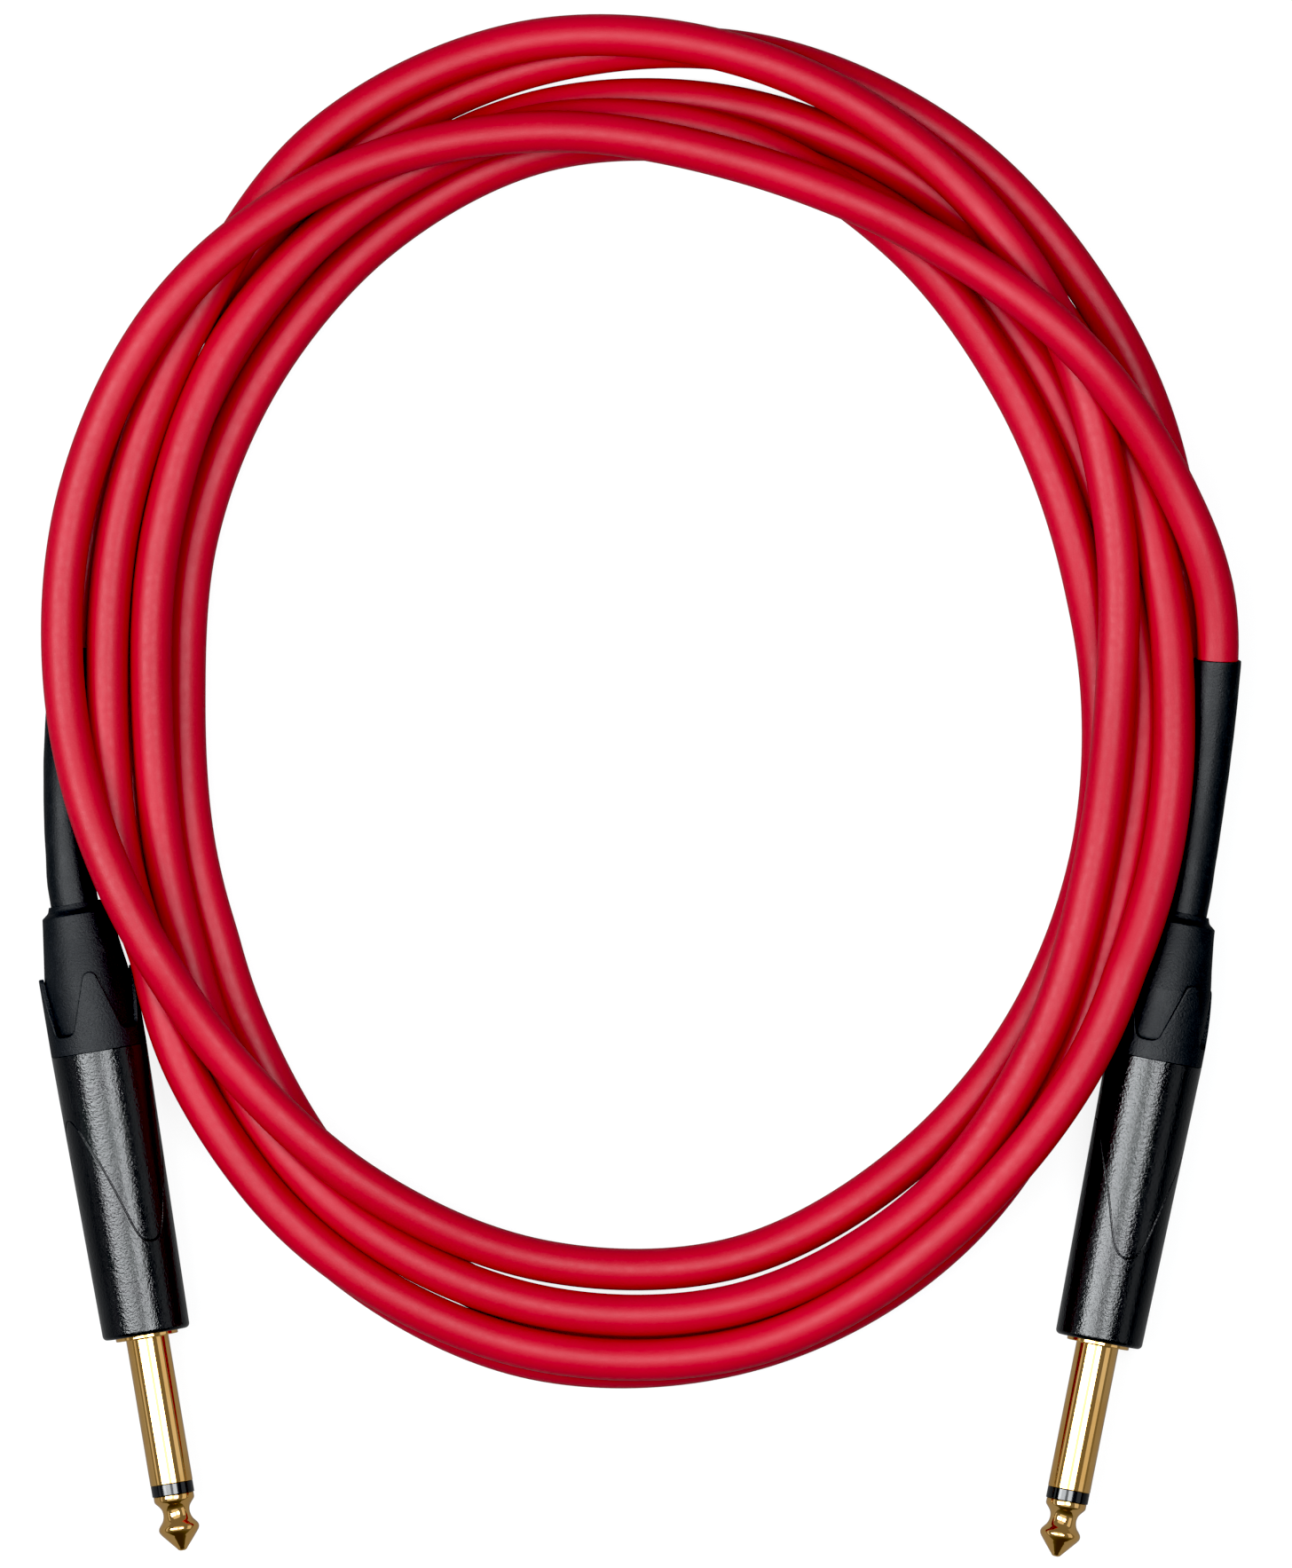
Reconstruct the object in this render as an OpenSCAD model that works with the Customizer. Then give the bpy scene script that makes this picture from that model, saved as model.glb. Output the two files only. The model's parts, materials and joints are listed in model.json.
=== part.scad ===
/* [Plug contacts] */
// Diameter of the sleeve and of the jack that it fits
sleeve_d = 6.35; // [6.30:0.01:6.35]
// Largest diameter of the tip
tip_d = 6.0; // [5.8:0.05:6.1]
// Diameter of the tip's neck
neck_d = 4.0; // [3.6:0.1:4.4]
// Where the tip is widest, from its point
tip_bulb_at = 3.3; // [3.0:0.1:3.6]
// Where the neck is narrowest, from the point
neck_at = 5.8; // [5.4:0.1:6.2]
// Where the tip's collar begins
collar_at = 7.6; // [7.3:0.1:7.9]
// Where the tip ends and the insulating ring begins
ring_at = 8.4; // [8.2:0.1:8.8]
// Where the sleeve begins, behind the ring
sleeve_at = 10.1; // [9.9:0.1:10.5]
// Where the sleeve meets its flange
flange_at = 32.0; // [31.0:0.5:33.0]
// Diameter of the flange in the shell's front bore
flange_d = 9.3; // [9.0:0.1:9.5]

/* [Shell] */
// How much of the flange shows in front of the shell
flange_show = 0.5; // [0.3:0.1:1.5]
// Length of the shell
shell_len = 42.6; // [40:0.2:46]
// Diameter of the shell at its front
shell_front_d = 13.0; // [12.8:0.1:13.6]
// Diameter of the shell at its rear
shell_rear_d = 14.3; // [14.0:0.1:14.6]
// Bore of the shell behind its front wall
shell_bore_d = 11.6; // [11.4:0.1:11.8]

/* [Bushing] */
// Length of the nut's toothed ring
ring_len = 11.7; // [11:0.1:12.5]
// Height of the teeth above the ring's valleys
tooth_h = 9.0; // [6:0.2:9]
// Number of teeth round the ring
teeth = 4; // [3:1:5]
// Diameter of the boot inside the ring
boot_d = 12.9; // [12.6:0.1:13.1]
// Diameter of the boot's shoulder at the rear
shoulder_d = 10.3; // [10:0.1:11.6]
// Diameter of the boot's neck
boot_neck_d = 8.1; // [8:0.1:8.6]
// Length of the boot behind the shell, with its neck
boot_len = 22.1; // [21:0.1:23]
// Length of thread that the nut screws into the shell
spigot_len = 5.0; // [4:0.5:6]

/* [Cable] */
// Diameter of the cable's jacket
cable_d = 6.2; // [5.8:0.1:6.3]
// Diameter of the sleeve shrunk on the cable
shrink_d = 7.1; // [6.9:0.1:7.2]
// Length of the shrunk sleeve behind the boot
shrink_len = 38; // [30:1:38]
// How many strands lie on each other all round the coil
coil_layers = 2; // [2:1:2]

/* [Lay] */
// Point of the left plug's tip, from the middle between the plugs
left_tip = [-65.9, -48.1];
// Turn of the left plug's rear towards the left, in degrees
left_lean = 9.5; // [8:0.5:11]
// Turn of a valley of the left nut from straight up, in degrees
left_valley = 49; // [-45:1:90]
// Point of the right plug's tip
right_tip = [63.5, -49];
// Turn of the right plug's rear towards the right, in degrees
right_lean = 11.2; // [9:0.1:12]
// Turn of a valley of the right nut from straight up, in degrees
right_valley = -15; // [-45:1:90]

/* [Hidden] */
$fn = 72;
overlap = 1;          // how far a cutting tool runs past the face that it cuts
run_gap = 0.1;        // clearance between pieces that move past each other
seam = 0.1;           // gap between faces that part when a plug is opened

// Heights and lengths along a plug are measured from the point of its tip
axis_z = shell_rear_d / 2;
rod_r = 1.0;
core_r = 2.3;                                   // insulating tube inside the sleeve
shell_at = flange_at + flange_show;
shell_end = shell_at + shell_len;
front_wall = 3.2;                               // thickness of the shell's front wall
shoulder_at = shell_at + front_wall + seam;     // insert's shoulder, behind that wall
shoulder_len = 1.4;
tag_at = shoulder_at + shoulder_len;            // the ground terminal's washer
rear_insulator_end = tag_at + 5.4;
rear_insulator_r = 2.85;
sheet = 0.6;                                    // thickness of the terminals
lug_at = rear_insulator_end;
lug_end = lug_at + 8;
tag_end = tag_at + 17;
conductor_r = 0.4;
insulation_r = 1.4;
pigtail_r = 0.7;
tag_y = 2 * pigtail_r + 1.5;                    // the tag's face, outside the pigtail
jacket_at = shell_at + 29;                      // where the jacket is cut off
nut_at = shell_end + seam;
nut_end = nut_at + ring_len;
boot_end = shell_end + boot_len;
ring_r = shell_rear_d / 2;
boot_in_r = shrink_d / 2 + 0.2;
collet_r = 4.4;
collet_rim_r = 5.2;
collet_rim_len = 1.5;
nut_floor = 0.8;                                // nut's wall in front of the collet's rim
boot_at = nut_at + nut_floor + collet_rim_len + 2 * run_gap;
collet_at = jacket_at + 3;
shrink_at = boot_at + 11;                       // the shrunk sleeve's hidden start

// Oval that the cable is wound round
oval_c = [2, 78];
oval = [77, 92];
// How far the wound cable reaches outside the oval, at each angle in degrees
coil_out = [[0, 3], [12, 4.5], [24, 9], [40, 10], [60, 10], [80, 9], [100, 11], [116, 11.5],
            [132, 10.5], [148, 10], [158, 4], [175, 3], [190, 2.7], [202, 3.9], [214, 5.2],
            [226, 8.5], [244, 9.5], [262, 10], [280, 9], [298, 7], [312, 4.5], [326, 1.5],
            [340, 0.5], [350, 1.5]];
// How far it reaches inside the oval
coil_in = [[0, 11.5], [20, 13], [40, 13.5], [60, 13], [80, 13.5], [100, 12], [120, 12],
           [140, 11.5], [160, 11.5], [180, 12.5], [200, 11.5], [218, 9.5], [234, 8],
           [250, 9], [270, 10.5], [290, 11], [310, 11], [330, 10.5], [345, 11]];
// Middle of the strand that crosses on top of the others, as angle and reach outside the oval
top_strand = [[24, 5.5], [32, 3.2], [40, 0.5], [48, -3], [56, -6], [64, -8.4], [72, -10],
              [80, -10.2], [88, -9.4], [96, -7.5], [104, -4.8], [112, -1.2], [120, 2],
              [128, 5], [136, 7], [144, 8]];
// Middle line of each lead, from the boot to the coil
left_route = [[-82.7, 55, 7.0], [-83, 62, 6.5], [-83, 70, 5.8], [-82.6, 78, 5.0],
              [-82, 86, 4.2], [-81, 94, 3.5], [-79.5, 102, 3.2], [-77.5, 110, 3.2],
              [-75, 117, 3.2]];
right_route = [[83.7, 54, 7.2], [84.9, 62, 7.3], [86, 70, 7.6], [86.9, 78, 8.2],
               [87.5, 86, 9.0], [87, 93, 10.0], [85, 100.5, 11.2], [82, 107.5, 12]];

// ---- Shapes that repeat ----

// A plug's own frame has its axis along Z, from the tip to the cable. This lays it on the table.
module lay_plug(tip, lean) {
    translate([tip[0], tip[1], axis_z])
        rotate([-90, 0, lean])
            children();
}

module left() {
    lay_plug(left_tip, left_lean) children();
}

module right() {
    lay_plug(right_tip, -right_lean) children();
}

// A ring or a disc from one station of the plug's axis to another
module ring(from, to, r_out, r_in = 0) {
    translate([0, 0, from])
        difference() {
            cylinder(h = to - from, r = r_out);
            if (r_in > 0)
                translate([0, 0, -overlap])
                    cylinder(h = to - from + 2 * overlap, r = r_in);
        }
}

// Points of an arc round c, for outlines that are turned
function arc(c, r, from, to, steps = 6) =
    [for (i = [0:steps])
        let (a = from + (to - from) * i / steps)
            [c[0] + r * cos(a), c[1] + r * sin(a)]];

function unit(v) = v / norm(v);

// Point of a smooth curve through p, between its points 1 and 2
function spline_point(p, u) =
    0.5 * (2 * p[1] + (p[2] - p[0]) * u
           + (2 * p[0] - 5 * p[1] + 4 * p[2] - p[3]) * u * u
           + (3 * p[1] - p[0] - 3 * p[2] + p[3]) * u * u * u);

function open_spline(pts, steps) =
    let (n = len(pts), q = concat([2 * pts[0] - pts[1]], pts, [2 * pts[n - 1] - pts[n - 2]]))
        concat([for (i = [0:n - 2], k = [0:steps - 1])
                   spline_point([q[i], q[i + 1], q[i + 2], q[i + 3]], k / steps)],
               [pts[n - 1]]);

function closed_spline(pts, steps) =
    let (n = len(pts))
        [for (i = [0:n - 1], k = [0:steps - 1])
            spline_point([pts[(i + n - 1) % n], pts[i], pts[(i + 1) % n], pts[(i + 2) % n]],
                         k / steps)];

// The part of a line of points whose length from its start is between two values
function path_lengths(pts) =
    [for (i = 0, s = 0; i < len(pts);
          s = s + (i + 1 < len(pts) ? norm(pts[i + 1] - pts[i]) : 0), i = i + 1) s];

function path_upto(pts, length) =
    let (s = path_lengths(pts), n = len([for (v = s) if (v < length) v]))
        concat([for (i = [0:n - 1]) pts[i]],
               [pts[n - 1] + (pts[n] - pts[n - 1]) * (length - s[n - 1]) / (s[n] - s[n - 1])]);

// A round solid of radius r along a line of points that never stands upright
module sweep(pts, r, sides = 12) {
    n = len(pts);
    ways = [for (i = [0:n - 1]) unit(pts[min(i + 1, n - 1)] - pts[max(i - 1, 0)])];
    skin = [for (i = [0:n - 1], k = [0:sides - 1])
               let (side = unit(cross(ways[i], [0, 0, 1])), up = cross(side, ways[i]),
                    a = 360 * k / sides)
                   pts[i] + r * (cos(a) * side + sin(a) * up)];
    walls = [for (i = [0:n - 2], k = [0:sides - 1])
                let (a = i * sides + k, b = i * sides + (k + 1) % sides)
                    each [[a, b, b + sides], [a, b + sides, a + sides]]];
    first_face = [for (k = [0:sides - 1]) sides - 1 - k];
    last_face = [for (k = [0:sides - 1]) (n - 1) * sides + k];
    polyhedron(points = skin, faces = concat([first_face], walls, [last_face]), convexity = 6);
}

// ---- Contacts and insulators ----

module tip_contact() {
    color([0.83, 0.65, 0.30])
        rotate_extrude()
            polygon(concat(
                [[0, 0]],
                arc([0.25, 0.45], 0.45, -90, -35, 3),
                arc([tip_d / 2 - 0.6, tip_bulb_at], 0.6, -40, 45, 5),
                arc([neck_d / 2 + 0.5, neck_at], 0.5, 220, 140, 4),
                [[tip_d / 2, collar_at], [tip_d / 2, ring_at], [rod_r, ring_at],
                 [rod_r, lug_at + sheet], [0, lug_at + sheet]]));
}

module tip_insulator() {
    color([0.08, 0.08, 0.09]) {
        ring(ring_at, sleeve_at, sleeve_d / 2 - 0.03, rod_r);
        ring(sleeve_at, tag_at, core_r, rod_r);
    }
}

module sleeve_contact() {
    color([0.83, 0.65, 0.30])
        difference() {
            union() {
                ring(sleeve_at, flange_at, sleeve_d / 2);
                ring(flange_at, shoulder_at, flange_d / 2);
                ring(shoulder_at, tag_at, shell_bore_d / 2 - run_gap);
            }
            translate([0, 0, sleeve_at - overlap])
                cylinder(h = tag_at - sleeve_at + 2 * overlap, r = core_r);
        }
}

module rear_insulator() {
    color([0.10, 0.10, 0.11])
        ring(tag_at, rear_insulator_end, rear_insulator_r, rod_r);
}

// Solder lug on the tip rod: a washer with a drilled tongue along the conductor
module tip_terminal() {
    color([0.80, 0.80, 0.78])
        difference() {
            union() {
                ring(lug_at, lug_at + sheet, core_r, rod_r);
                translate([-1.3, -conductor_r - sheet, lug_at])
                    difference() {
                        cube([2.6, sheet, lug_end - lug_at]);
                        translate([-overlap, -overlap, -overlap])
                            cube([2.6 + 2 * overlap, sheet + 2 * overlap, sheet + overlap]);
                    }
            }
            translate([0, -conductor_r - sheet - overlap, lug_end - 1.2])
                rotate([-90, 0, 0])
                    cylinder(h = sheet + 2 * overlap, r = 0.5, $fn = 24);
        }
}

// Solder tag on the sleeve: a washer with a tongue along the screen
module ground_terminal() {
    color([0.80, 0.80, 0.78]) {
        ring(tag_at, tag_at + sheet, 5.2, rear_insulator_r);
        translate([-1.5, tag_y, tag_at + sheet])
            cube([3, sheet, tag_end - tag_at - sheet]);
    }
}

// A rounded bead of solder along a wire, flat where the sheet metal lies beside it
module solder_bead(from, to, bead_r, wire_r, sheet_side) {
    flat = wire_r - 0.05;
    difference() {
        rotate_extrude($fn = 36)
            polygon(concat([[wire_r, from]],
                           arc([bead_r - 0.5, from + 0.5], 0.5, -90, 0, 3),
                           arc([bead_r - 0.5, to - 0.5], 0.5, 0, 90, 3),
                           [[wire_r, to]]));
        translate([-bead_r - overlap, sheet_side > 0 ? flat : -flat - 2 * bead_r, from - overlap])
            cube([2 * (bead_r + overlap), 2 * bead_r, to - from + 2 * overlap]);
    }
}

module solder_joints() {
    color([0.72, 0.73, 0.75]) {
        solder_bead(lug_at + 1.6, lug_end - 2.2, 1.1, conductor_r, -1);
        difference() {
            translate([0, tag_y - pigtail_r, 0])
                solder_bead(tag_end - 4.6, tag_end - 0.8, 1.3, pigtail_r, 1);
            translate([0, 0, tag_end - 6])
                cylinder(h = 8, r = insulation_r + 0.03);
        }
    }
}

module centre_conductor() {
    color([0.80, 0.46, 0.28])
        ring(lug_at + sheet + 0.6, jacket_at, conductor_r);
}

module inner_insulation() {
    color([0.93, 0.92, 0.88])
        ring(lug_end + 0.8, jacket_at, insulation_r, conductor_r);
}

module shield_pigtail() {
    color([0.78, 0.50, 0.33])
        translate([0, tag_y - pigtail_r, 0])
            ring(tag_end - 5.2, jacket_at, pigtail_r);
}

module jacket_end() {
    color([0.78, 0.03, 0.12])
        ring(jacket_at, boot_end, cable_d / 2);
}

// ---- Housing ----

module shell() {
    front_r = shell_front_d / 2;
    rear_r = shell_rear_d / 2;
    edge = 0.7;
    color([0.04, 0.04, 0.045])
        rotate_extrude()
            polygon(concat(
                [[flange_d / 2 + run_gap / 2, shell_at]],
                arc([front_r - edge, shell_at + edge], edge, -90, 0),
                arc([rear_r - 0.15, shell_end - 0.15], 0.15, 0, 90, 2),
                [[shell_bore_d / 2, shell_end],
                 [shell_bore_d / 2, shell_at + front_wall],
                 [flange_d / 2 + run_gap / 2, shell_at + front_wall]]));
}

// Split chuck: a rim that the nut carries and four jaws round the jacket
module collet() {
    color([0.85, 0.85, 0.82])
        difference() {
            union() {
                ring(collet_at, nut_at + nut_floor + run_gap, collet_r);
                ring(nut_at + nut_floor + run_gap,
                     nut_at + nut_floor + run_gap + collet_rim_len, collet_rim_r);
            }
            translate([0, 0, collet_at - overlap])
                cylinder(h = 20, r = cable_d / 2 + run_gap);
            for (a = [0, 90])
                rotate([0, 0, a])
                    translate([-collet_r - overlap, -0.4, collet_at - overlap])
                        cube([2 * (collet_r + overlap), 0.8, 7 + overlap]);
        }
}

// Gap between two teeth of the nut: a flat floor with round corners, straight flanks and half
// of each round peak
module tooth_gap() {
    floor_x = 0.85;
    corner_r = 1.2;
    peak_r = 0.75;
    peak_x = ring_r * sin(180 / teeth);
    run = peak_x - floor_x;
    rise = tooth_h - peak_r - corner_r;
    slant = atan2(rise, run) - acos((corner_r + peak_r) / norm([run, rise]));
    half = concat(arc([floor_x, corner_r], corner_r, -90, slant, 6),
                  arc([peak_x, tooth_h - peak_r], peak_r, 180 + slant, 90, 6));
    polygon(concat(half,
                   [[peak_x, tooth_h + overlap], [-peak_x, tooth_h + overlap]],
                   [for (i = [len(half) - 1:-1:0]) [-half[i][0], half[i][1]]]));
}

// valley is the turn of one of its valleys from straight up
module bushing_nut(valley) {
    color([0.07, 0.07, 0.075])
        difference() {
            union() {
                ring(nut_at - seam - spigot_len, nut_at, shell_bore_d / 2 - run_gap);
                ring(nut_at, nut_end, ring_r);
            }
            translate([0, 0, nut_at - 2 * spigot_len])
                cylinder(h = 3 * spigot_len, r = collet_r + run_gap);
            translate([0, 0, nut_at + nut_floor])
                cylinder(h = spigot_len, r = collet_rim_r + run_gap);
            translate([0, 0, boot_at])
                cylinder(h = ring_len, r = boot_d / 2);
            for (i = [0:teeth - 1])
                rotate([0, 0, 360 * i / teeth + valley])
                    translate([0, 0, nut_end - tooth_h])
                        rotate([90, 0, 0])
                            linear_extrude(height = ring_r + overlap)
                                tooth_gap();
        }
}

// Rubber sleeve that tapers to a shoulder and then falls in a hollow curve to a thin lip
module bushing_boot() {
    corner_r = 0.4;
    hollow_r = 0.9;
    lip = 0.35;
    neck_r = boot_neck_d / 2;
    color([0.09, 0.09, 0.095])
        rotate_extrude()
            polygon(concat(
                [[boot_in_r, boot_at], [boot_d / 2, boot_at], [boot_d / 2, nut_end - 1.5]],
                arc([shoulder_d / 2 - corner_r, boot_end - 1.9], corner_r, 10, 80, 4),
                arc([neck_r + hollow_r, boot_end - lip], hollow_r, 250, 180, 5),
                [[neck_r, boot_end], [boot_in_r, boot_end]]));
}

// ---- Cable ----

function plug_axis(tip, lean, t) =
    [tip[0] - t * sin(lean), tip[1] + t * cos(lean), axis_z];

// Middle line of a lead: straight out of the boot, then along its route
function lead_line(tip, lean, route) =
    concat([plug_axis(tip, lean, boot_end)],
           open_spline(concat([plug_axis(tip, lean, boot_end + 3)], route), 2));

// The shrunk sleeve starts inside the boot and ends square on the lead
module heat_shrink(tip, lean, route) {
    line = path_upto(lead_line(tip, lean, route), shrink_len);
    whole = concat([plug_axis(tip, lean, shrink_at)], line);
    longer = concat([plug_axis(tip, lean, shrink_at - overlap)], line,
                    [line[len(line) - 1] + overlap * unit(line[len(line) - 1] - line[len(line) - 2])]);
    color([0.10, 0.11, 0.115])
        difference() {
            sweep(whole, shrink_d / 2);
            sweep(longer, cable_d / 2 + 0.05);
        }
}

module lead(tip, lean, route) {
    color([0.78, 0.03, 0.12])
        sweep(lead_line(tip, lean, route), cable_d / 2);
}

// Point on the ray from the oval's middle at angle a, off outside the oval
function oval_point(a, off) =
    let (r = 1 / sqrt(pow(cos(a) / oval[0], 2) + pow(sin(a) / oval[1], 2)) + off)
        [oval_c[0] + r * cos(a), oval_c[1] + r * sin(a)];

// The wound cable as one closed solid: a ring of its outer shape, and the strand that crosses on top
module cable_coil() {
    half = cable_d / 2;
    color([0.78, 0.03, 0.12])
        difference() {
            union() {
                linear_extrude(height = coil_layers * cable_d, convexity = 4)
                    polygon(closed_spline([for (s = coil_out) oval_point(s[0], s[1])], 4));
                linear_extrude(height = (coil_layers + 1) * cable_d, convexity = 4)
                    polygon(concat(
                        open_spline([for (s = top_strand) oval_point(s[0], s[1] + half)], 2),
                        open_spline([for (i = [len(top_strand) - 1:-1:0])
                                        oval_point(top_strand[i][0], top_strand[i][1] - half)], 2)));
            }
            translate([0, 0, -overlap])
                linear_extrude(height = 4 * cable_d, convexity = 4)
                    polygon(closed_spline([for (s = coil_in) oval_point(s[0], -s[1])], 4));
        }
}

left() tip_contact();  // left_tip_contact
left() tip_insulator();  // left_tip_insulator
left() sleeve_contact();  // left_sleeve_contact
left() rear_insulator();  // left_rear_insulator
left() tip_terminal();  // left_tip_terminal
left() ground_terminal();  // left_ground_terminal
left() solder_joints();  // left_solder_joints
left() centre_conductor();  // left_centre_conductor
left() inner_insulation();  // left_inner_insulation
left() shield_pigtail();  // left_shield_pigtail
left() jacket_end();  // left_jacket_end
left() collet();  // left_collet
left() shell();  // left_shell
left() bushing_nut(left_valley);  // left_bushing_nut
left() bushing_boot();  // left_bushing_boot
heat_shrink(left_tip, left_lean, left_route);  // left_heat_shrink
right() tip_contact();  // right_tip_contact
right() tip_insulator();  // right_tip_insulator
right() sleeve_contact();  // right_sleeve_contact
right() rear_insulator();  // right_rear_insulator
right() tip_terminal();  // right_tip_terminal
right() ground_terminal();  // right_ground_terminal
right() solder_joints();  // right_solder_joints
right() centre_conductor();  // right_centre_conductor
right() inner_insulation();  // right_inner_insulation
right() shield_pigtail();  // right_shield_pigtail
right() jacket_end();  // right_jacket_end
right() collet();  // right_collet
right() shell();  // right_shell
right() bushing_nut(right_valley);  // right_bushing_nut
right() bushing_boot();  // right_bushing_boot
heat_shrink(right_tip, -right_lean, right_route);  // right_heat_shrink
lead(left_tip, left_lean, left_route);  // left_lead
lead(right_tip, -right_lean, right_route);  // right_lead
cable_coil();
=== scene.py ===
"""Instrument cable with two straight plugs, lying wound up on a pale table.

Lengths along a plug are millimetres from the point of its tip, as in the CAD source.
"""

import json
import math

import bpy
import numpy as np
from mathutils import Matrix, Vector


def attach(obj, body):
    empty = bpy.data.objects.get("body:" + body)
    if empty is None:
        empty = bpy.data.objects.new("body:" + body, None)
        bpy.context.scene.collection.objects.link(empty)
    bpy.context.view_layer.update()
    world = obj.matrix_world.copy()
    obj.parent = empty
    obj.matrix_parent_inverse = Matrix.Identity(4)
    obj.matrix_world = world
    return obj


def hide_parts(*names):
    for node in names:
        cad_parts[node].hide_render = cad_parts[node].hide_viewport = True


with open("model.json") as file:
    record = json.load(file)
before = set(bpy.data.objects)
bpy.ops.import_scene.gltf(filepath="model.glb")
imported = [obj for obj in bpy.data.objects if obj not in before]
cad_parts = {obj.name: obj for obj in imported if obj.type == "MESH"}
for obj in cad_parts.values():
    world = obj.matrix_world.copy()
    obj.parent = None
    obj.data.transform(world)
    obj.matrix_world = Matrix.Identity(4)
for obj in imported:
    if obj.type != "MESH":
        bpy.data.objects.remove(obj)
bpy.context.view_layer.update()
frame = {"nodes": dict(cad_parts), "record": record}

SCENE = bpy.context.scene
MM = 0.001

# ------------------------------------------------------------------ the plugs, as the CAD has them

TIPS = {"left": (-65.9, -48.1), "right": (63.5, -49.0)}
LEANS = {"left": 9.5, "right": -11.2}      # turn of the rear end towards the left, degrees
VALLEYS = {"left": 49.0, "right": -15.0}   # turn of one valley of the nut from straight up
TONGUES = {"left": (28.5, 46.1), "right": (13.5, 45.4)}    # turn and tip of the shell's tongue
# The tongue's edge: degrees round from its middle, and mm back from its tip
TONGUE_EDGE = [(0, 0), (5, 0.06), (10, 0.28), (14, 0.75), (18, 1.5), (22, 2.6), (27, 4.7),
               (37, 8.4), (48, 11.9), (59, 14.7), (72, 17.9), (84, 19.4), (90, 19.7)]
AXIS_Z = 7.15                              # height of the plugs' axes above the table
RING_AT, SLEEVE_AT, FLANGE_AT, SHELL_AT = 8.4, 10.1, 32.0, 32.5
SHELL_END, NUT_AT, NUT_END, BOOT_AT, BOOT_END = 75.1, 75.2, 86.9, 77.7, 97.2
SHRINK_AT, SHRINK_LEN = 88.7, 38.0
SLEEVE_R, RING_R, SHELL_FRONT_R, SHELL_REAR_R, NUT_R = 3.175, 3.145, 6.5, 7.15, 7.15
CORE_END = 37.6                            # where the gold sleeve and its lining end
CABLE_R, SHRINK_R = 3.1, 3.55


def plug_point(side, t, r=0.0, phi=0.0):
    """Point in mm at station t of a plug, r from its axis, phi radians from straight up towards +X."""
    a = math.radians(LEANS[side])
    x, y = TIPS[side]
    across = r * math.sin(phi)
    return (x - t * math.sin(a) + across * math.cos(a),
            y + t * math.cos(a) + across * math.sin(a),
            AXIS_Z + r * math.cos(phi))


# ------------------------------------------------------------------ camera

VIEW_MIDDLE = (0.00276, 0.0655, 0.006)
VIEW_TALL, CAMERA_FAR, SENSOR = 0.2325, 4.0, 36    # metres, metres, mm

camera = bpy.data.objects.new("camera", bpy.data.cameras.new("camera"))
SCENE.collection.objects.link(camera)
camera.location = (VIEW_MIDDLE[0], VIEW_MIDDLE[1], VIEW_MIDDLE[2] + CAMERA_FAR)
camera.data.sensor_width = SENSOR
camera.data.lens = SENSOR * CAMERA_FAR / VIEW_TALL
camera.data.clip_start, camera.data.clip_end = 0.1, 20
SCENE.camera = camera

# ------------------------------------------------------------------ the cable's route

# Lead from each boot to the coil, as in the CAD source
RIGHT_ROUTE = [(83.7, 54, 7.2), (84.9, 62, 7.3), (86, 70, 7.6), (86.9, 78, 8.2),
               (87.5, 86, 9.0), (87, 93, 10.0), (85, 100.5, 11.2), (82, 107.5, 12)]
LEFT_ROUTE = [(-82.7, 55, 7.0), (-83, 62, 6.5), (-83, 70, 5.8), (-82.6, 78, 5.0),
              (-82, 86, 4.2), (-81, 94, 3.5), (-79.5, 102, 3.2), (-77.5, 110, 3.2),
              (-75, 117, 3.2)]
OVAL_C, OVAL = (2.0, 78.0), (77.0, 92.0)
STEP = 20    # degrees between the stations of a turn
# One row a turn, from +X round over +Y: how far the strand's middle lies outside the oval
REACH = [
    [None, None, 0.5, -7.2, -10.4, -6.1, 2.0, 8.6, 10.3, 8.2, 3.8, -1.1, -4.7, -7.0, -7.5, -8.2,
     -7.6, -7.6],
    [-8.6, -9.9, -10.4, -9.5, -7.2, -4.9, -3.1, -1.65, -2.9, -3.9, -3.2, -1.0, 0.6, -0.4, -0.8,
     -1.9, -4.6, -6.9],
    [-6.7, -3.7, 0.25, 2.9, 4.9, 7.6, 8.2, 4.5, 3.4, 2.1, 3.0, 5.2, 6.25, 6.15, 5.7, 3.4, 2.9, 2.6],
    [2.1, 1.6, 1.2, -0.7, -2.4, -2.75, -2.45, -2.2, -2.1, -3.0, 0.5, 4.2, 6.6, 7.6, 6.4, 4.6, 1.1,
     -2.2],
    [-2.4, -4.5, -5.3, -6.7, -8.6, -8.8, -8.8, -8.4, -8.3, -9.3, -8.3, -6.2, -2.0, 0.7, 0.1,
     -0.5, -1.3, -0.8],
    [2.4, 5.9, 7.1, 7.3, 5.9, 3.85, 3.4, 4.5]]
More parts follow.
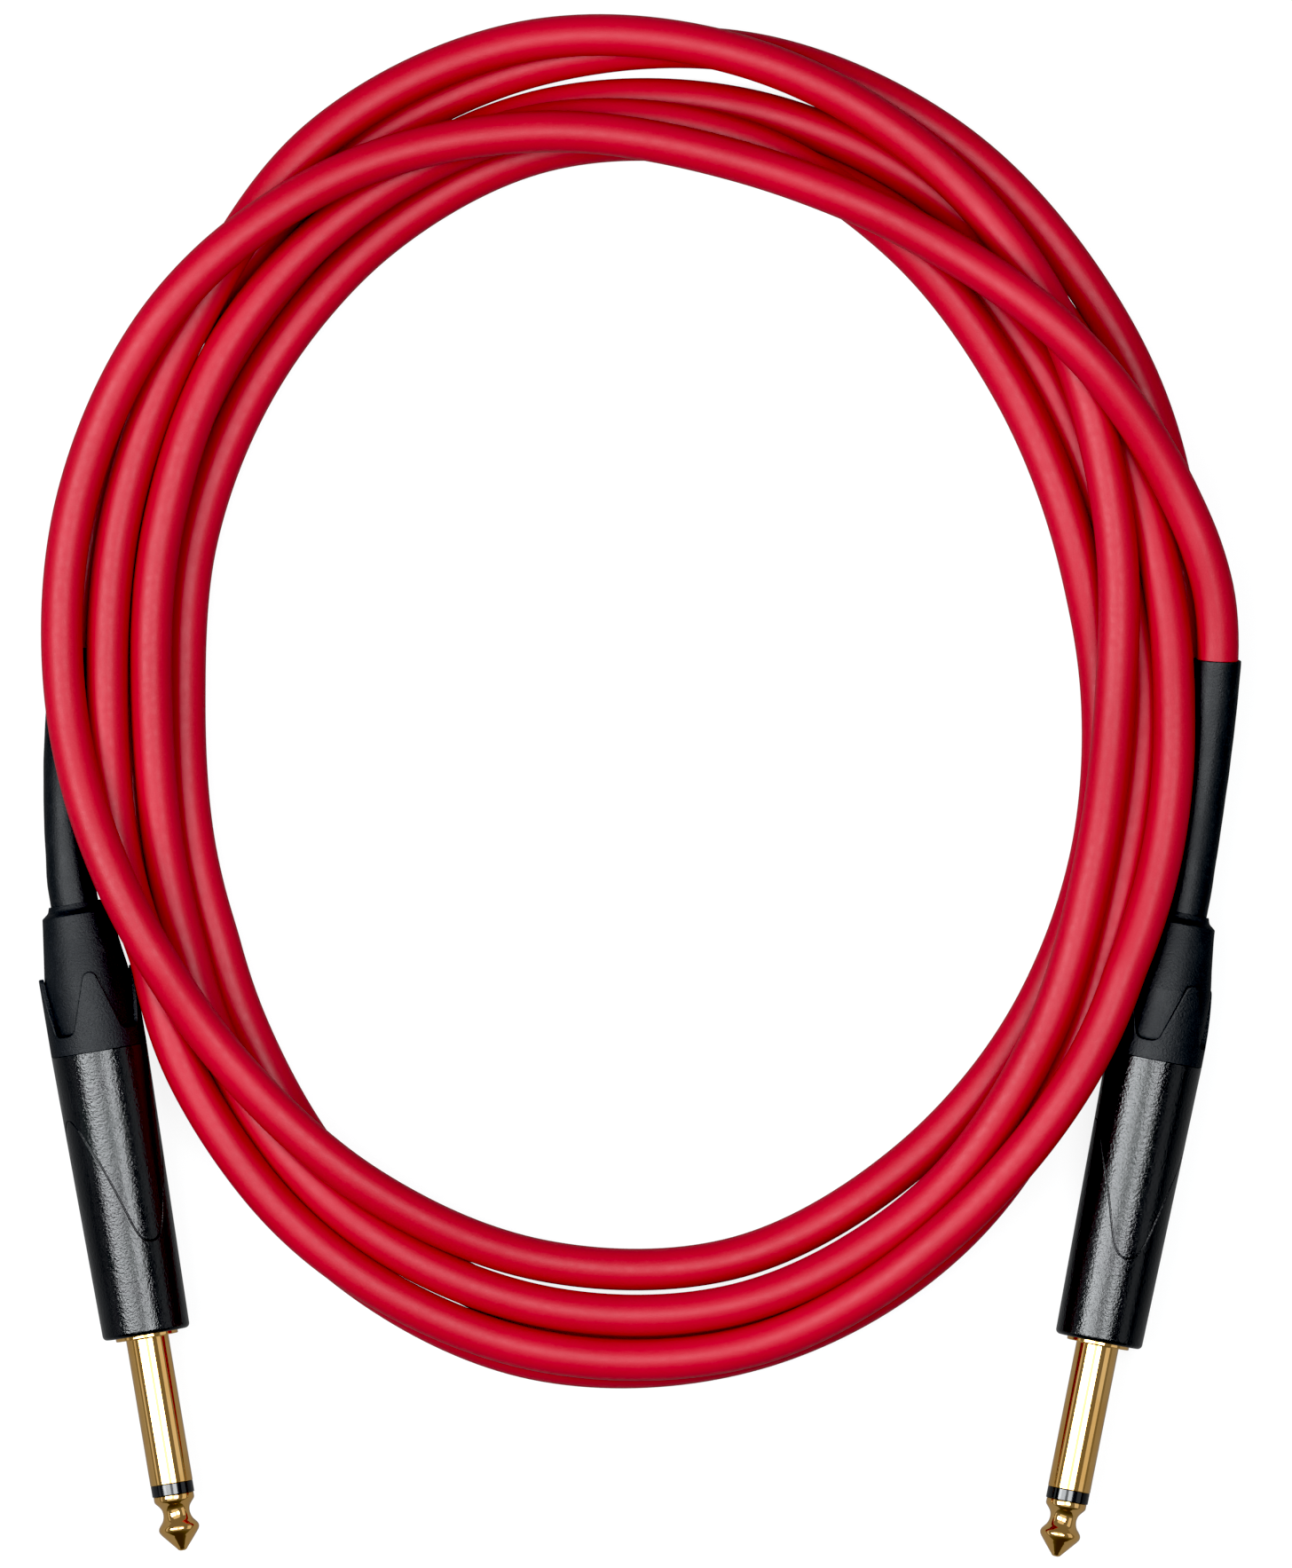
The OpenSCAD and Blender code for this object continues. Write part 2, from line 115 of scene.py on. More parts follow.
# The same stations' rough heights; settle() makes the strands rest on each other
HEIGHT = [
    [None, None, 16.7, 14.6, 14.8, 15.8, 14.8, 14.4, 11.5, 12.0, 15.4, 13.4, 12.1, 7.5, 4.0, 3.1,
     3.1, 3.1],
    [3.3, 5.9, 6.5, 8.7, 9.2, 9.8, 9.3, 9.3, 8.5, 7.0, 6.8, 7.0, 8.7, 9.2, 9.1, 9.0, 12.1, 13.0],
    [11.3, 11.2, 10.6, 8.6, 9.2, 8.4, 8.0, 9.2, 9.0, 9.3, 9.3, 9.2, 9.2, 9.1, 9.2, 12.6, 14.6,
     13.1],
    [11.1, 7.6, 4.2, 3.1, 3.1, 3.1, 3.1, 3.1, 3.1, 3.1, 3.1, 3.1, 3.1, 3.1, 3.2, 6.6, 8.9, 9.1],
    [6.8, 3.2, 3.1, 3.1, 3.1, 4.7, 3.2, 3.1, 3.1, 3.1, 3.1, 3.1, 3.1, 3.1, 3.1, 3.1, 3.1, 3.1],
    [3.1, 3.1, 3.1, 3.1, 3.1, 3.1, 3.1, 3.1]]


def oval_point(degrees, off):
    """Point at this angle round the oval, off mm outside it."""
    a = math.radians(degrees)
    r = 1 / math.hypot(math.cos(a) / OVAL[0], math.sin(a) / OVAL[1]) + off
    return OVAL_C[0] + r * math.cos(a), OVAL_C[1] + r * math.sin(a)


def coil_stations():
    """The coil's stations as points, from the right plug's end to the left plug's."""
    for reach, height in zip(REACH, HEIGHT):
        for i, (off, z) in enumerate(zip(reach, height)):
            if off is not None:
                yield (*oval_point(STEP * i, off), z)


def smooth_line(points, gap):
    """A smooth curve through the points, with a point about every gap."""
    p = np.array(points, float)
    q = np.vstack([2 * p[0] - p[1], p, 2 * p[-1] - p[-2]])
    line = []
    for i in range(len(p) - 1):
        p0, p1, p2, p3 = q[i:i + 4]
        d0, d1, d2 = (np.linalg.norm(b - a) for a, b in ((p0, p1), (p1, p2), (p2, p3)))
        m1 = ((p1 - p0) / d0 * d1 + (p2 - p1) / d1 * d0) / (d0 + d1) * d1
        m2 = ((p2 - p1) / d1 * d2 + (p3 - p2) / d2 * d1) / (d1 + d2) * d1
        steps = max(2, round(d1 / gap))
        for u in np.arange(steps) / steps:
            line.append((2 * u**3 - 3 * u * u + 1) * p1 + (u**3 - 2 * u * u + u) * m1
                        + (3 * u * u - 2 * u**3) * p2 + (u**3 - u * u) * m2)
    line.append(p[-1])
    return np.array(line)


def lengths(line):
    """Distance along the line of each of its points, from its start."""
    return np.concatenate([[0], np.cumsum(np.linalg.norm(np.diff(line, axis=0), axis=1))])


def plug_balls():
    """Balls that fill the two plugs, for the strands to lie clear of."""
    outline = [(SHELL_AT, SHELL_FRONT_R), (SHELL_END, SHELL_REAR_R), (NUT_END, NUT_R),
               (NUT_END + 0.1, 6.3), (95.4, 5.2), (96.2, 4.2)]
    centres, radii = [], []
    for side in TIPS:
        for t in np.arange(SHELL_AT + 0.6, BOOT_END, 1.0):
            centres.append(plug_point(side, t))
            radii.append(np.interp(t, *zip(*outline)))
    return np.array(centres), np.array(radii)


def settle(line, rounds=140):
    """Pushes strands that lie in each other or in a plug apart, and keeps the line smooth."""
    held, loosens = 42, 20      # mm of each end that stay as drawn, and over which it comes free
    near, ball_near = 9.5, 14   # pairs of points, and of a point and a ball, that may touch
    same_strand = 40            # mm along the line within which points aren't pushed apart
    s = lengths(line)
    end = np.minimum(s, s[-1] - s)
    radius = np.where(end < SHRINK_LEN, SHRINK_R, CABLE_R)
    free = np.clip((end - held) / loosens, 0, 1)
    balls, ball_r = plug_balls()
    q = line.copy()
    apart = np.linalg.norm(q[:, None] - q[None], axis=2)
    i, j = np.where(np.triu((apart < near) & (np.abs(s[:, None] - s[None]) > same_strand)))
    need = radius[i] + radius[j]
    share = free[i] / np.maximum(free[i] + free[j], 1e-6)
    ball_apart = np.linalg.norm(q[:, None] - balls[None], axis=2)
    bi, bj = np.where((ball_apart < ball_near) & (free[:, None] > 0))
    ball_need = radius[bi] + ball_r[bj]

    def bend(points):
        return 0.25 * points[:-2] - 0.5 * points[1:-1] + 0.25 * points[2:]

    for _ in range(rounds):
        push, count = np.zeros_like(q), np.zeros(len(q))
        way = q[i] - q[j]
        dist = np.linalg.norm(way, axis=1)
        m = dist < need
        move = way[m] / dist[m, None] * (need[m] - dist[m])[:, None]
        np.add.at(push, i[m], move * share[m, None])
        np.add.at(push, j[m], -move * (1 - share[m, None]))
        way = q[bi] - balls[bj]
        dist = np.linalg.norm(way, axis=1)
        b = dist < ball_need
        np.add.at(push, bi[b], way[b] / dist[b, None] * (ball_need[b] - dist[b])[:, None])
        for touched in (i[m], j[m], bi[b]):
            np.add.at(count, touched, 1)
        q += push / np.maximum(count, 1)[:, None]
        q[1:-1] += 0.5 * (bend(q) - bend(line)) * free[1:-1, None]
        q[:, 2] = np.where(free > 0, np.maximum(q[:, 2], CABLE_R), q[:, 2])
    return q


STRAIGHT = 3    # mm of cable that go straight on behind each boot
stations = [plug_point("right", BOOT_END), plug_point("right", BOOT_END + STRAIGHT),
            *RIGHT_ROUTE, *coil_stations(), *reversed(LEFT_ROUTE),
            plug_point("left", BOOT_END + STRAIGHT), plug_point("left", BOOT_END)]
cable_line = settle(smooth_line(stations, 1.6))
cable_s = lengths(cable_line)

# ------------------------------------------------------------------ node materials


class Paint:
    """A node material in the making; values are numbers, colours or other nodes' outputs."""

    def __init__(self, name, **surface):
        self.material = bpy.data.materials.new(name)
        self.material.use_nodes = True
        self.tree = self.material.node_tree
        self.tree.nodes.clear()
        self.shader = self.node("ShaderNodeBsdfPrincipled")
        output = self.node("ShaderNodeOutputMaterial")
        self.tree.links.new(self.shader.outputs[0], output.inputs["Surface"])
        self.normal = None
        self.set(**surface)

    def node(self, kind, **settings):
        """Adds a node of this kind."""
        made = self.tree.nodes.new(kind)
        for key, value in settings.items():
            setattr(made, key, value)
        return made

    def feed(self, made, **inputs):
        """Fills a node's inputs, each given by its name or as i and its number."""
        for key, value in inputs.items():
            socket = made.inputs[int(key[1:])] if key[0] == "i" and key[1:].isdigit() \
                else made.inputs[key.replace("_", " ")]
            if isinstance(value, bpy.types.NodeSocket):
                self.tree.links.new(value, socket)
            elif isinstance(value, (tuple, list)) and socket.type == "RGBA":
                socket.default_value = (*value, 1.0)
            else:
                socket.default_value = value
        return made

    def set(self, **inputs):
        self.feed(self.shader, **inputs)
        return self

    def coords(self, which="Object", stretch=(1, 1, 1)):
        source = self.node("ShaderNodeTexCoord").outputs[which]
        return self.feed(self.node("ShaderNodeMapping"), Vector=source, Scale=stretch).outputs[0]

    def noise(self, scale, detail=2.0, rough=0.5, coords=None):
        made = self.node("ShaderNodeTexNoise")
        self.feed(made, Vector=coords or self.coords(), Scale=scale, Detail=detail,
                  Roughness=rough)
        return made.outputs["Fac"]

    def ramp(self, value, from_min, from_max, to_min, to_max):
        """A smooth step between two values, where another value goes between its own two."""
        made = self.node("ShaderNodeMapRange", clamp=True, interpolation_type="SMOOTHSTEP")
        self.feed(made, Value=value, From_Min=from_min, From_Max=from_max, To_Min=to_min,
                  To_Max=to_max)
        return made.outputs["Result"]

    def mix(self, fac, a, b):
        made = self.node("ShaderNodeMix", data_type="RGBA")
        self.feed(made, i0=fac, i6=a, i7=b)
        return made.outputs[2]

    def round_edges(self, radius):
        """Makes sharp edges look rounded to this radius in metres."""
        self.normal = self.feed(self.node("ShaderNodeBevel", samples=4), Radius=radius).outputs[0]
        self.set(Normal=self.normal)
        return self

    def bump(self, height, distance, strength=1.0):
        """Adds a relief of this height in metres on top of the ones before."""
        made = self.node("ShaderNodeBump")
        self.feed(made, Height=height, Distance=distance, Strength=strength)
        if self.normal is not None:
            self.feed(made, Normal=self.normal)
        self.normal = made.outputs[0]
        self.set(Normal=self.normal)
        return self


def jacket_paint():
    """Satin red PVC: fine grain, faint marks of the extruder along it, fine lighter specks of dust."""
    p = Paint("red_jacket", IOR=1.385)
    along = p.coords("UV", (60, 2500, 1))
    tone = p.noise(28, 3)
    speck = p.noise(3600, 2, 0.6)
    red = p.mix(p.ramp(tone, 0.35, 0.65, 0, 1), (0.36, 0.0020, 0.016), (0.40, 0.0035, 0.020))
    red = p.mix(p.ramp(speck, 0.42, 0.75, 0, 0.3), red, (0.46, 0.015, 0.035))
    p.set(Base_Color=red)
    p.set(Roughness=p.ramp(p.noise(900, 3), 0.3, 0.7, 0.41, 0.49))
    p.bump(p.noise(4200, 2, 0.6), 0.00003, 0.5)
    p.bump(p.noise(1.0, 2, 0.5, along), 0.00002, 0.25)
    p.bump(p.noise(300, 2), 0.00006, 0.3)
    return p.material


def lacquer_paint():
    """Gloss black lacquer with the orange peel that a sprayed and baked coat has."""
    p = Paint("shell_lacquer", IOR=1.54)
    grey = p.ramp(p.noise(60, 3), 0.4, 0.7, 0.0, 1.0)
    p.set(Base_Color=p.mix(grey, (0.0040, 0.0042, 0.0048), (0.0060, 0.0064, 0.0072)))
    p.set(Roughness=p.ramp(p.noise(500, 3), 0.35, 0.7, 0.15, 0.21))
    p.bump(p.noise(2600, 2, 0.6), 0.00011, 0.6)
    return p.material


def moulded_paint(name, low, high, rough, grain, edge=None, dust=0.0, streak=0.0, ior=1.39):
    """Matt black moulding: spark-eroded grain, patches rubbed smoother, a little dust."""
    p = Paint(name, IOR=ior)
    if edge:
        p.round_edges(edge)
    patches = p.noise(130, 4, 0.6)
    colour = p.mix(p.ramp(patches, 0.35, 0.7, 0, 1), low, high)
    if dust:
        specks = p.ramp(p.noise(2600, 2, 0.7), 0.52, 0.72, 0, 0.22)
        colour = p.mix(specks, colour, (0.030, 0.034, 0.042))
        fluff = p.ramp(p.noise(420, 5, 0.7), 0.60, 0.78, 0, dust)
        colour = p.mix(fluff, colour, (0.12, 0.12, 0.115))
    p.set(Base_Color=colour)
    p.set(Roughness=p.ramp(patches, 0.3, 0.7, rough, rough + 0.10))
    p.bump(p.noise(3200, 2, 0.6), 0.00010, grain)
    p.bump(p.noise(160, 3), 0.00020, 0.25)
    if streak:
        p.bump(p.noise(1.0, 3, 0.6, p.coords("UV", (50, 1600, 1))), 0.00006, streak)
    return p.material


def gold_paint():
    """Polished gold plate over turned brass: fine turning marks round it, faint handling film."""
    p = Paint("gold", Metallic=1.0)
    film = p.noise(170, 4, 0.6)
    p.set(Base_Color=p.mix(p.ramp(film, 0.35, 0.7, 0, 1), (0.98, 0.61, 0.24), (0.94, 0.55, 0.19)))
    p.set(Roughness=p.ramp(film, 0.3, 0.75, 0.04, 0.09))
    p.bump(p.noise(1.0, 3, 0.7, p.coords("UV", (9000, 30, 1))), 0.000004, 0.35)
    p.bump(p.noise(500, 2), 0.00003, 0.03)
    return p.material


def metal_paint(name, low, high, rough, brush=(6000, 300, 300), lumps=0.0, edge=0.0001):
    """Bare metal with stains and fine drawing marks, and lumps where it was soldered."""
    p = Paint(name, Metallic=1.0)
    p.round_edges(edge)
    stain = p.noise(380, 4, 0.6)
    p.set(Base_Color=p.mix(p.ramp(stain, 0.35, 0.7, 0, 1), low, high))
    p.set(Roughness=p.ramp(stain, 0.3, 0.7, rough, rough + 0.15))
    p.bump(p.noise(1.0, 3, 0.6, p.coords("Object", brush)), 0.00001, 0.4)
    if lumps:
        p.bump(p.noise(900, 3), 0.0002, lumps)
    return p.material


def pale_paint(name, low, high, rough, grain):
    """Pale plastic that light goes a little way into."""
    p = Paint(name, IOR=1.5, Subsurface_Weight=0.15, Subsurface_Scale=0.0008)
    p.round_edges(0.00008)
    p.set(Base_Color=p.mix(p.ramp(p.noise(300, 4), 0.35, 0.7, 0, 1), low, high))
    p.set(Roughness=p.ramp(p.noise(700, 3), 0.3, 0.7, rough, rough + 0.12))
    p.bump(p.noise(3000, 2), 0.00004, grain)
    return p.material


PAINTS = {
    "red_jacket": jacket_paint(),
    "shell_lacquer": lacquer_paint(),
    "hard_black_plastic": moulded_paint(
        "hard_black_plastic", (0.0050, 0.0058, 0.0072), (0.0080, 0.0090, 0.0108),
        rough=0.46, grain=1.0, edge=0.00012, dust=0.07),
    "boot_rubber": moulded_paint(
        "boot_rubber", (0.0042, 0.0050, 0.0063), (0.0070, 0.0080, 0.0096),
        rough=0.50, grain=0.70, dust=0.08),
    "shrink_sleeve": moulded_paint(
        "shrink_sleeve", (0.0040, 0.0047, 0.0058), (0.0066, 0.0075, 0.0088),
        rough=0.44, grain=0.50, dust=0.06, streak=0.35),
    "black_plastic": moulded_paint(
        "black_plastic", (0.004, 0.004, 0.0045), (0.007, 0.007, 0.008),
        rough=0.05, grain=0.02, edge=0.00006, ior=1.62),
    "gold": gold_paint(),
    "tinned_metal": metal_paint(
        "tinned_metal", (0.62, 0.61, 0.58), (0.50, 0.49, 0.46), rough=0.22),
    "solder": metal_paint(
        "solder", (0.66, 0.67, 0.69), (0.45, 0.45, 0.46),
        rough=0.16, brush=(900, 900, 900), lumps=0.5, edge=0.0002),
    "copper": metal_paint(
        "copper", (0.80, 0.36, 0.20), (0.60, 0.24, 0.13),
        rough=0.25, brush=(7000, 260, 7000), lumps=0.2, edge=0.00005),
    "core_insulation": pale_paint(
        "core_insulation", (0.80, 0.79, 0.74), (0.72, 0.71, 0.66), rough=0.35, grain=0.2),
    "white_plastic": pale_paint(
        "white_plastic", (0.66, 0.65, 0.60), (0.58, 0.57, 0.52), rough=0.38, grain=0.3)}

# ------------------------------------------------------------------ mesh building

UV_ROUND = 0.02    # once round a piece in its UV map; along the piece it is in metres


def finish_piece(name, verts, faces, uvs, paint, body, nodes):
    """Makes a smooth piece of points in mm, puts it on its CAD body and hides what it replaces."""
    mesh = bpy.data.meshes.new(name)
    mesh.from_pydata([Vector(v) * MM for v in verts], [], faces)
    layer = mesh.uv_layers.new(name="UVMap")
    for face, corners in zip(mesh.polygons, uvs):
        for loop, uv in zip(face.loop_indices, corners):
            layer.data[loop].uv = uv
    mesh.shade_smooth()
    mesh.materials.append(PAINTS[paint])
    piece = bpy.data.objects.new(name, mesh)
    SCENE.collection.objects.link(piece)
    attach(piece, body)
    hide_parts(*nodes)
    return piece


def skin(rows, closed_rows=False, caps=False):
    """Faces and texture corners of a grid of rows that run round and close on themselves."""
    n, m = len(rows), len(rows[0])
    verts = [tuple(p) for row in rows for p in row]
    along = [0.0]
    for a, b in zip(rows, rows[1:]):
        along.append(along[-1] + float(np.linalg.norm(np.array(b[0]) - np.array(a[0]))) * MM)
    faces, uvs = [], []
    for i in range(n if closed_rows else n - 1):
        j = (i + 1) % n
        u0, u1 = along[i], along[j] if j else along[i] + MM
        for k in range(m):
            l = (k + 1) % m
            v0, v1 = UV_ROUND * k / m, UV_ROUND * (k + 1) / m
            faces.append((i * m + k, j * m + k, j * m + l, i * m + l))
            uvs.append(((u0, v0), (u1, v0), (u1, v1), (u0, v1)))
    if caps:
        for row, order in ((0, 1), (n - 1, -1)):
            faces.append(tuple(row * m + k for k in range(m))[::order])
            uvs.append([(0.0, UV_ROUND * k / m) for k in range(m)])
    return verts, faces, uvs


def fillets(corners, steps=5, support=0.03):
    """Rounds an outline's corners: each is (t, r, radius), and comes back as points (t, r)."""
    out = []
    n = len(corners)
    for i, (t, r, radius) in enumerate(corners):
        here = np.array([t, r])
        before, after = (np.array(corners[(i + k) % n][:2]) for k in (-1, 1))
        if radius <= 0:
            out.append(tuple(here))
            continue
        a, b = (v / np.linalg.norm(v) for v in (before - here, after - here))
        half = math.acos(max(-1.0, min(1.0, float(a @ b)))) / 2
        reach = radius / math.tan(half)
        middle = here + (a + b) / np.linalg.norm(a + b) * radius / math.sin(half)
        first, last = here + a * reach - middle, here + b * reach - middle
        out.append(tuple(here + a * (reach + support)))
        turn = math.pi - 2 * half
        for k in range(steps + 1):
            u = k / steps
            v = (math.sin((1 - u) * turn) * first + math.sin(u * turn) * last) / math.sin(turn)
            out.append(tuple(middle + v))
        out.append(tuple(here + b * (reach + support)))
    return out


def lathe(name, side, outline, paint, body, nodes, sides=128, relief=None):
    """Turned piece of a plug from an outline of (t, r) that closes on itself.

    relief(phi, t) is added to the radius where it is given.
    """
    rows = []
    for t, r in outline:
        row = []
        for k in range(sides):
            phi = -2 * math.pi * k / sides
            row.append(plug_point(side, t, r + (relief(phi, t) if relief else 0.0), phi))
        rows.append(row)
    return finish_piece(name, *skin(rows, closed_rows=True), paint, body, nodes)


def tube(name, line, outline, sides, paint, body, nodes, caps=False):
    """Round piece along a line of points; outline gives (place on the line in mm, radius).

    With caps it is solid; without, the outline closes on itself and so has an inner wall.
    """
    s = lengths(line)
    ways = np.gradient(line, axis=0)
    ways /= np.linalg.norm(ways, axis=1)[:, None]
    rows = []
    for at, r in outline:
        middle = np.array([np.interp(at, s, line[:, k]) for k in range(3)])
        way = np.array([np.interp(at, s, ways[:, k]) for k in range(3)])
        way /= np.linalg.norm(way)
        out = np.cross(way, (0, 0, 1))
        out /= np.linalg.norm(out)
        up = np.cross(out, way)
        rows.append([middle + r * (math.cos(a) * out + math.sin(a) * up)
                     for a in np.arange(sides) * 2 * math.pi / sides])
    return finish_piece(name, *skin(rows, closed_rows=not caps, caps=caps), paint, body, nodes)


# ------------------------------------------------------------------ the plugs' pieces


def tip(side):
    """Gold point, neck and collar, on the rod that runs back to the terminal."""
    rod_r, rod_end = 1.0, 44.0
    nose = smooth_line([(0.0, 0.30), (0.10, 0.55), (0.45, 0.86), (1.2, 1.50), (2.1, 2.26),
                        (2.72, 2.76), (3.05, 2.95), (3.35, 3.01), (3.70, 2.93), (4.10, 2.66),
                        (4.60, 2.27), (5.2, 2.04), (5.8, 1.99), (6.35, 2.10), (6.85, 2.40),
                        (7.25, 2.74), (7.50, 2.93), (7.68, 3.00)], 0.12)
    outline = [(0.0, 0.0), *nose, (RING_AT - 0.10, 3.0), (RING_AT - 0.04, 2.98), (RING_AT, 2.92),
               (RING_AT, rod_r), (rod_end, rod_r), (rod_end, 0.0)]
    return lathe(f"{side}_tip", side, outline, "gold", "cable", [f"{side}_tip_contact"])


def sleeve(side):
    """Gold sleeve with the flange that shows before the shell and the wider seat inside it."""
    bore, flange_r, seat_at, seat_r = 2.3, 4.65, 36.2, 5.7
    outline = fillets([(SLEEVE_AT, bore, 0), (SLEEVE_AT, SLEEVE_R, 0.12),
                       (FLANGE_AT, SLEEVE_R, 0.12), (FLANGE_AT, flange_r, 0.15),
                       (seat_at, flange_r, 0), (seat_at, seat_r, 0.1), (CORE_END, seat_r, 0.1),
                       (CORE_END, bore, 0)])
    return lathe(f"{side}_sleeve", side, outline, "gold", "cable", [f"{side}_sleeve_contact"])


def ring(side):
    """Black ring between tip and sleeve, with its tube inside the sleeve."""
    bore, tube_r = 1.0, 2.3
    outline = fillets([(RING_AT, bore, 0), (RING_AT, RING_R, 0.10), (SLEEVE_AT, RING_R, 0.06),
                       (SLEEVE_AT, tube_r, 0), (CORE_END, tube_r, 0), (CORE_END, bore, 0)])
    return lathe(f"{side}_insulating_ring", side, outline, "black_plastic", "cable",
                 [f"{side}_tip_insulator"])


def groove_line(side, phi):
    """Where the shell's engraved line runs: a long tongue towards the tip, twice round the shell."""
    turn, at = TONGUES[side]
    off = abs((math.degrees(phi) - turn + 90) % 180 - 90)
    return at + float(np.interp(off, *zip(*TONGUE_EDGE)))


def shell_radius(t):
    way = (t - SHELL_AT) / (SHELL_END - SHELL_AT)
    return SHELL_FRONT_R + (SHELL_REAR_R - SHELL_FRONT_R) * way


def shell(side):
    """Tapered housing with the engraved line; its rings of points bend to follow the line."""
    sides, rounds = 288, 20
    mean_r = 6.8                # the shell's radius about the middle of the line
    bore_at, seat_r, bore_r = 36.1, 4.7, 5.8
    edge = 0.24                 # half the groove's width, with a margin
    # (mm across the groove from its middle, depth)
    groove = [(-edge, 0.0), (-0.17, 0.0), (-0.14, 0.012), (-0.10, 0.06), (-0.06, 0.13), (0.0, 0.15),
              (0.06, 0.13), (0.10, 0.06), (0.14, 0.012), (0.17, 0.0), (edge, 0.0)]
    phis = -2 * math.pi * np.arange(sides) / sides
    wave = np.array([groove_line(side, p) for p in phis])
    for _ in range(rounds):
        wave = 0.25 * np.roll(wave, 1) + 0.5 * wave + 0.25 * np.roll(wave, -1)
    slope = (np.roll(wave, -1) - np.roll(wave, 1)) / (2 * (phis[1] - phis[0]) * mean_r)
    steep = np.hypot(1, slope)

    def row(place, drop=0.0):
        return [plug_point(side, *place(k, drop)) for k in range(sides)]

    def even(t, r):
        return lambda k, drop: (t, r, phis[k])

    def between(t, share, off):
        """share of the way from the even ring at t to the groove's edge at off."""
        def place(k, drop):
            a, b = phis[k], phis[k] - off * slope[k] / steep[k] / mean_r
            at = t + share * (wave[k] + off / steep[k] - t)
            return at, shell_radius(at) - drop, a + share * (b - a)
        return place

    mouth = fillets([(bore_at, seat_r, 0), (SHELL_AT, seat_r, 0.15), (SHELL_AT, SHELL_FRONT_R, 0.7),
                     (40, shell_radius(40), 0)], 7)[1:-1]
    front, back = mouth[-1][0], SHELL_END - 0.2
    rear = fillets([(back, shell_radius(back), 0), (SHELL_END, SHELL_REAR_R, 0.06),
                    (SHELL_END, bore_r, 0.06), (bore_at, bore_r, 0), (bore_at, seat_r, 0)], 4)[1:]
    rows = [row(even(t, r)) for t, r in mouth]
    rows += [row(between(front, share, -edge)) for share in (0.15, 0.35, 0.55, 0.75, 0.9)]
    rows += [row(between(front, 1.0, off), depth) for off, depth in groove]
    rows += [row(between(back, share, edge)) for share in (0.95, 0.85, 0.7, 0.5, 0.3, 0.1, 0.0)]
    rows += [row(even(t, r)) for t, r in rear]
    return finish_piece(f"{side}_barrel", *skin(rows, closed_rows=True), "shell_lacquer",
                        f"{side}_shell", [f"{side}_shell"])


def boot(side):
    """Rubber boot in the nut: a shoulder, and a neck that opens in a thin lip round the cable."""
    neck_at, neck_end, pinch, step = 87.5, 95.6, 0.07, 0.8
    pinch_turn = 0.6 if side == "left" else 2.0

    def dent(phi, t):
        """The soft neck isn't quite round: shallow pinches where it was squeezed."""
        fade = max(0.0, min(1.0, (t - neck_at) / 2)) * max(0.0, min(1.0, (neck_end - t) / 1.5))
        return -pinch * fade * (0.5 + 0.5 * math.cos(3 * phi + pinch_turn))

    outline = fillets([(BOOT_AT, 3.75, 0), (BOOT_AT, 6.44, 0), (85.6, 6.44, 0.5),
                       (neck_end, 5.12, 0.35), (96.35, 4.15, 0.9), (BOOT_END, 3.88, 0.05),
                       (BOOT_END, 3.74, 0.03)])
    whole = []
    for a, b in zip(outline, outline[1:] + outline[:1]):
        steps = max(1, int(abs(b[0] - a[0]) / step))
        whole += [(a[0] + (b[0] - a[0]) * k / steps, a[1] + (b[1] - a[1]) * k / steps)
                  for k in range(steps)]
    return lathe(f"{side}_boot", side, whole, "boot_rubber", f"{side}_bushing",
                 [f"{side}_bushing_boot"], relief=dent)


